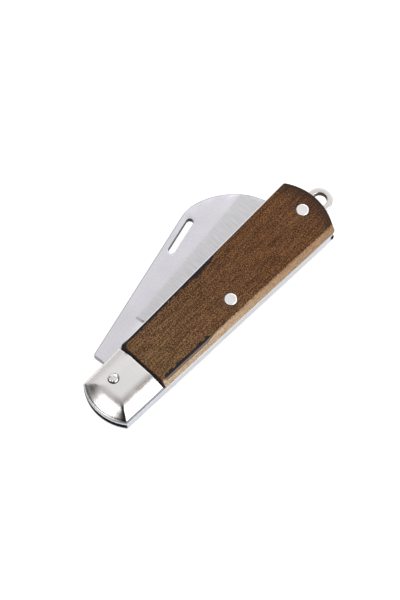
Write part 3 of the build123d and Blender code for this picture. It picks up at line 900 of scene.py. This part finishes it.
def make_spring():
    """The back spring: a hooded head, two limbs, and bosses for its pins."""
    head_y, hood_y = -TANG_FLAT - SPRING_GAP, -SHOULDER_ACROSS - SPRING_GAP
    tip_x, end_x, tail_x = -8.1, SPRING_GAP - SHOULDER_ALONG, 97.0
    tail_y, limb = -11.6, 4.4
    slope = tan(SPINE_TURN - OPEN_TURN)
    rivet_x, rivet_y = MIDDLE_RIVET.x, MIDDLE_RIVET.y
    corners = [
        (tip_x, side_y(tip_x, BACK)), (tail_x, side_y(tail_x, BACK)), (tail_x, tail_y),
        (86.0, tail_y), (83.0, side_y(83.0, BACK) + limb),
        (rivet_x + 7.4, side_y(rivet_x, BACK) + limb), (rivet_x + 2.8, rivet_y + 3.1),
        (rivet_x - 2.8, rivet_y + 3.1), (rivet_x - 7.4, side_y(rivet_x, BACK) + limb),
        (12.0, side_y(12.0, BACK) + 3.6), (7.6, head_y), (end_x, head_y), (end_x, hood_y),
        (tip_x, hood_y - (end_x - tip_x) * slope),
    ]
    outline = rounded(corners, {n: 1.2 for n in range(3, 10)}, 6)
    holes = [circle(MIDDLE_RIVET, FIXED_HOLE, 48), circle(TAIL_PIN, TAIL_HOLE, 48)]
    return plate([outline] + holes, *heights("back_spring"), 0.12)


# ---- ring, rivets and pins ------------------------------------------------------------------
def ring_centre():
    """The lanyard ring's centre, level with the end rivet."""
    return (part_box("lanyard_ring")[1].x / MM - PIVOT.x - RING_RADIUS, END_RIVET.y)


def make_ring():
    """The lanyard ring: a stamped eye, neck and ring with rounded edges."""
    centre = ring_centre()
    lean_eye = degrees(asin(NECK_HALF / EYE_RADIUS))
    lean_ring = degrees(asin(NECK_HALF / RING_RADIUS))
    outline = arc(END_RIVET, EYE_RADIUS, lean_eye, 360 - lean_eye, 4)
    outline += arc(centre, RING_RADIUS, 180 + lean_ring, 540 - lean_ring, 3)
    loops = [outline, circle(END_RIVET, TURNING_HOLE, 48), circle(centre, RING_HOLE)]
    return plate(loops, *heights("lanyard_ring"), 0.3, 5)


def make_rivet(rivet, face_z, side, stem, end_z, radius=2.4, rim=0.5, thickness=1.2, dish=0.05):
    """Half a rivet: a stem, and a head with a shallow dish inside a broad rim."""
    flat = radius - rim
    head = [(0.0, dish), (flat * 0.5, dish * 0.8), (flat * 0.85, dish * 0.25), (flat - 0.08, 0.012),
            (flat + rim * 0.12, 0.0), (flat + rim * 0.45, 0.05), (flat + rim * 0.8, 0.16),
            (radius - 0.03, 0.26), (radius, 0.36), (radius, thickness), (stem, thickness)]
    profile = [(r, face_z - side * depth) for r, depth in head]
    return lathe(rivet, profile + [(stem, end_z), (0.0, end_z)])


def make_pivot():
    """The pivot pin, its two heads peened over by hand."""
    low_z, high_z = heights("pivot_pin")
    head = [(0.0, 0.0), (0.5, 0.02), (0.95, 0.07), (1.3, 0.15), (1.6, 0.27), (1.8, 0.42),
            (1.92, 0.58), (1.95, 0.75), (1.9, 0.95), (1.62, 1.05)]
    profile = [(r, high_z - depth) for r, depth in head]
    profile += [(r, low_z + depth) for r, depth in head[::-1]]
    mesh = lathe((0, 0), profile, 80)
    axis = place(0, 0, 0)
    for vertex in mesh.verts:
        z = vertex.co.z / MM
        if min(high_z - z, z - low_z) < 1.04:
            front = z > MID_Z
            out = Vector((vertex.co.x - axis.x, vertex.co.y - axis.y, 0))
            spot = Vector((vertex.co.x, vertex.co.y, 0)) / MM
            dent = noise.noise(spot * 1.15 + Vector((3.1, 7.7, front)))
            fine = noise.noise(spot * 2.9 + Vector((9.3, 1.9, front)))
            sink = max(0.0, 0.10 + 0.16 * dent + 0.06 * fine) * MM
            vertex.co.z += -sink if front else sink
            vertex.co -= out * max(0.0, 0.035 + 0.08 * dent)
    return mesh


# ---- the knife ------------------------------------------------------------------------------
wood = add_wood("dark_wood")
satin = blade_metal("satin_blade")
bolster_metal = metal("polished_bolster", (0.845, 0.825, 0.81), 0.27, 0.9, 4.5, 0.3, 0.15, 0.03,
                      bolster_painted_light, 0.03)
liner_metal = metal("brushed_liner", (0.55, 0.575, 0.62), 0.28, 0.05, 7.0, 0.15,
                    touch=painted_slot_shade)
spring_metal = metal("brushed_spring", (0.50, 0.525, 0.565), 0.30, 0.05, 6.0, 0.2)
rivet_metal = metal("bright_rivet", (0.89, 0.865, 0.85), 0.24, 0.6, 1.8, 0.2, touch=painted_rim_glint_and_shade)
pivot_metal = metal("peened_pivot", (0.86, 0.85, 0.84), 0.24, 0.9, 1.4, 0.4, 0.5,
                    touch=painted_side_shade)
ring_metal = metal("plated_ring", (0.73, 0.70, 0.68), 0.34, 0.5, 1.5, 0.12, touch=painted_hole_shade)
pin_metal = metal("drawn_pin", (0.60, 0.60, 0.62), 0.4, 0.1, 5.0, 0.2)

add_piece("knife_blade", make_blade(), satin, "blade", "blade", 24)
add_piece("spring_bar", make_spring(), spring_metal, "handle", "back_spring")
for side, outward, seat_z, face_z in (("front", 1, FRONT_SEAT_Z, FRONT_FACE_Z),
                                      ("rear", -1, REAR_SEAT_Z, REAR_FACE_Z)):
    liner = side + "_liner"
    add_piece(side + "_liner_plate", make_liner(*heights(liner)), liner_metal, "handle",
              liner)
    add_piece(side + "_wood", make_scale(seat_z, face_z), wood, "handle",
              side + "_scale", 50)
    cap = add_piece(side + "_bolster_cap", make_bolster(seat_z, outward), bolster_metal, "handle",
                    side + "_bolster", 40)
    cut_groove(cap, seat_z + outward * BOLSTER_HEIGHT, outward, bolster_metal)

add_piece("pivot_rivet", make_pivot(), pivot_metal, "handle", "pivot_pin", 60)
for name, rivet in (("middle", MIDDLE_RIVET), ("end", END_RIVET)):
    low_z, high_z = heights(f"{name}_rivet_tube")
    back_z = heights(f"{name}_rivet_pin")[0]
    add_piece(f"{name}_rivet_face", make_rivet(rivet, high_z, 1, 1.6, low_z), rivet_metal,
              "handle", f"{name}_rivet_tube", 40)
    add_piece(f"{name}_rivet_back", make_rivet(rivet, back_z, -1, 1.0, low_z - 0.01), rivet_metal,
              "handle", f"{name}_rivet_pin", 40)
add_piece("lanyard_loop", make_ring(), ring_metal, "ring", "lanyard_ring", 50)

for node in ("front_bolster_pins", "rear_bolster_pins", "spring_tail_pin"):
    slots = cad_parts[node].data.materials
    slots.clear()
    slots.append(pin_metal)


# ---- studio ---------------------------------------------------------------------------------
def toward(azimuth, elevation):
    """The direction towards a compass azimuth and an elevation, as the views count them."""
    turn, rise = radians(azimuth), radians(elevation)
    return Vector((sin(turn) * cos(rise), -cos(turn) * cos(rise), sin(rise)))


def aim(thing, out):
    """Add a camera or light that looks the opposite way to out."""
    thing.rotation_mode = "QUATERNION"
    thing.rotation_quaternion = (-out).to_track_quat("-Z", "Y")
    bpy.context.collection.objects.link(thing)


def add_camera():
    """A long lens looking steeply down on the knife, which runs up to the right."""
    back = toward(-46.3, 66.5)
    target, distance = Vector((-0.00119, -0.00272, -0.00119)), 0.835
    data = bpy.data.cameras.new("camera")
    data.lens = 135
    camera = bpy.data.objects.new("camera", data)
    camera.location = target + back * distance
    aim(camera, back)
    bpy.context.scene.camera = camera


def add_floor(half=1.5):
    """A pale floor that glows a little, so that its shadows are faint."""
    mesh = bmesh.new()
    corners = ((-half, -half), (half, -half), (half, half), (-half, half))
    mesh.faces.new([mesh.verts.new((x, y, 0)) for x, y in corners])
    f = Finish("floor", Emission_Color=(1, 1, 1, 1), Emission_Strength=0.66)
    clouds = f.noise(f.stretch(0.01, 0.01), 2)
    colour = f.ramp(clouds, (0.3, (0.61, 0.61, 0.61)), (0.7, (0.64, 0.64, 0.64)))
    material = f.done(colour, 0.9, f.noise(f.stretch(1, 1)), 0.05)
    add_object("floor", mesh, material)


def add_softbox(name, azimuth, elevation, size, power, distance=0.9):
    """A square softbox aimed at the knife."""
    out = toward(azimuth, elevation)
    data = bpy.data.lights.new(name, "AREA")
    data.size = size
    data.energy = power
    light = bpy.data.objects.new(name, data)
    light.location = out * distance
    aim(light, out)


def add_world():
    """A pale room on the far side, greyer overhead and dark behind the camera."""
    world = bpy.data.worlds.new("studio")
    world.use_nodes = True
    tree = world.node_tree
    background = tree.nodes["Background"]
    coordinates = tree.nodes.new("ShaderNodeTexCoord")
    dot = tree.nodes.new("ShaderNodeVectorMath")
    dot.operation = "DOT_PRODUCT"
    dot.inputs[1].default_value = toward(133.7, 40)
    tree.links.new(coordinates.outputs["Generated"], dot.inputs[0])
    ramp = tree.nodes.new("ShaderNodeValToRGB")
    tree.links.new(dot.outputs["Value"], ramp.inputs[0])
    set_stops(ramp, ((0.0, (0.03, 0.028, 0.027)), (0.36, (0.07, 0.066, 0.063)),
                     (0.66, (0.40, 0.38, 0.365)), (0.79, (0.84, 0.84, 0.85)),
                     (1.0, (0.90, 0.90, 0.92))))
    tree.links.new(ramp.outputs[0], background.inputs["Color"])
    background.inputs["Strength"].default_value = 1.0
    bpy.context.scene.world = world


add_camera()
add_floor()
add_world()
bpy.context.scene.view_settings.view_transform = "Standard"
add_softbox("right_light", 23, 42, 0.5, 2.8)
add_softbox("left_light", -102, 48, 0.44, 1.9)
add_softbox("front_fill", 6, 20, 0.6, 3.8)
add_softbox("far_light", 108, 28, 0.4, 2.6)
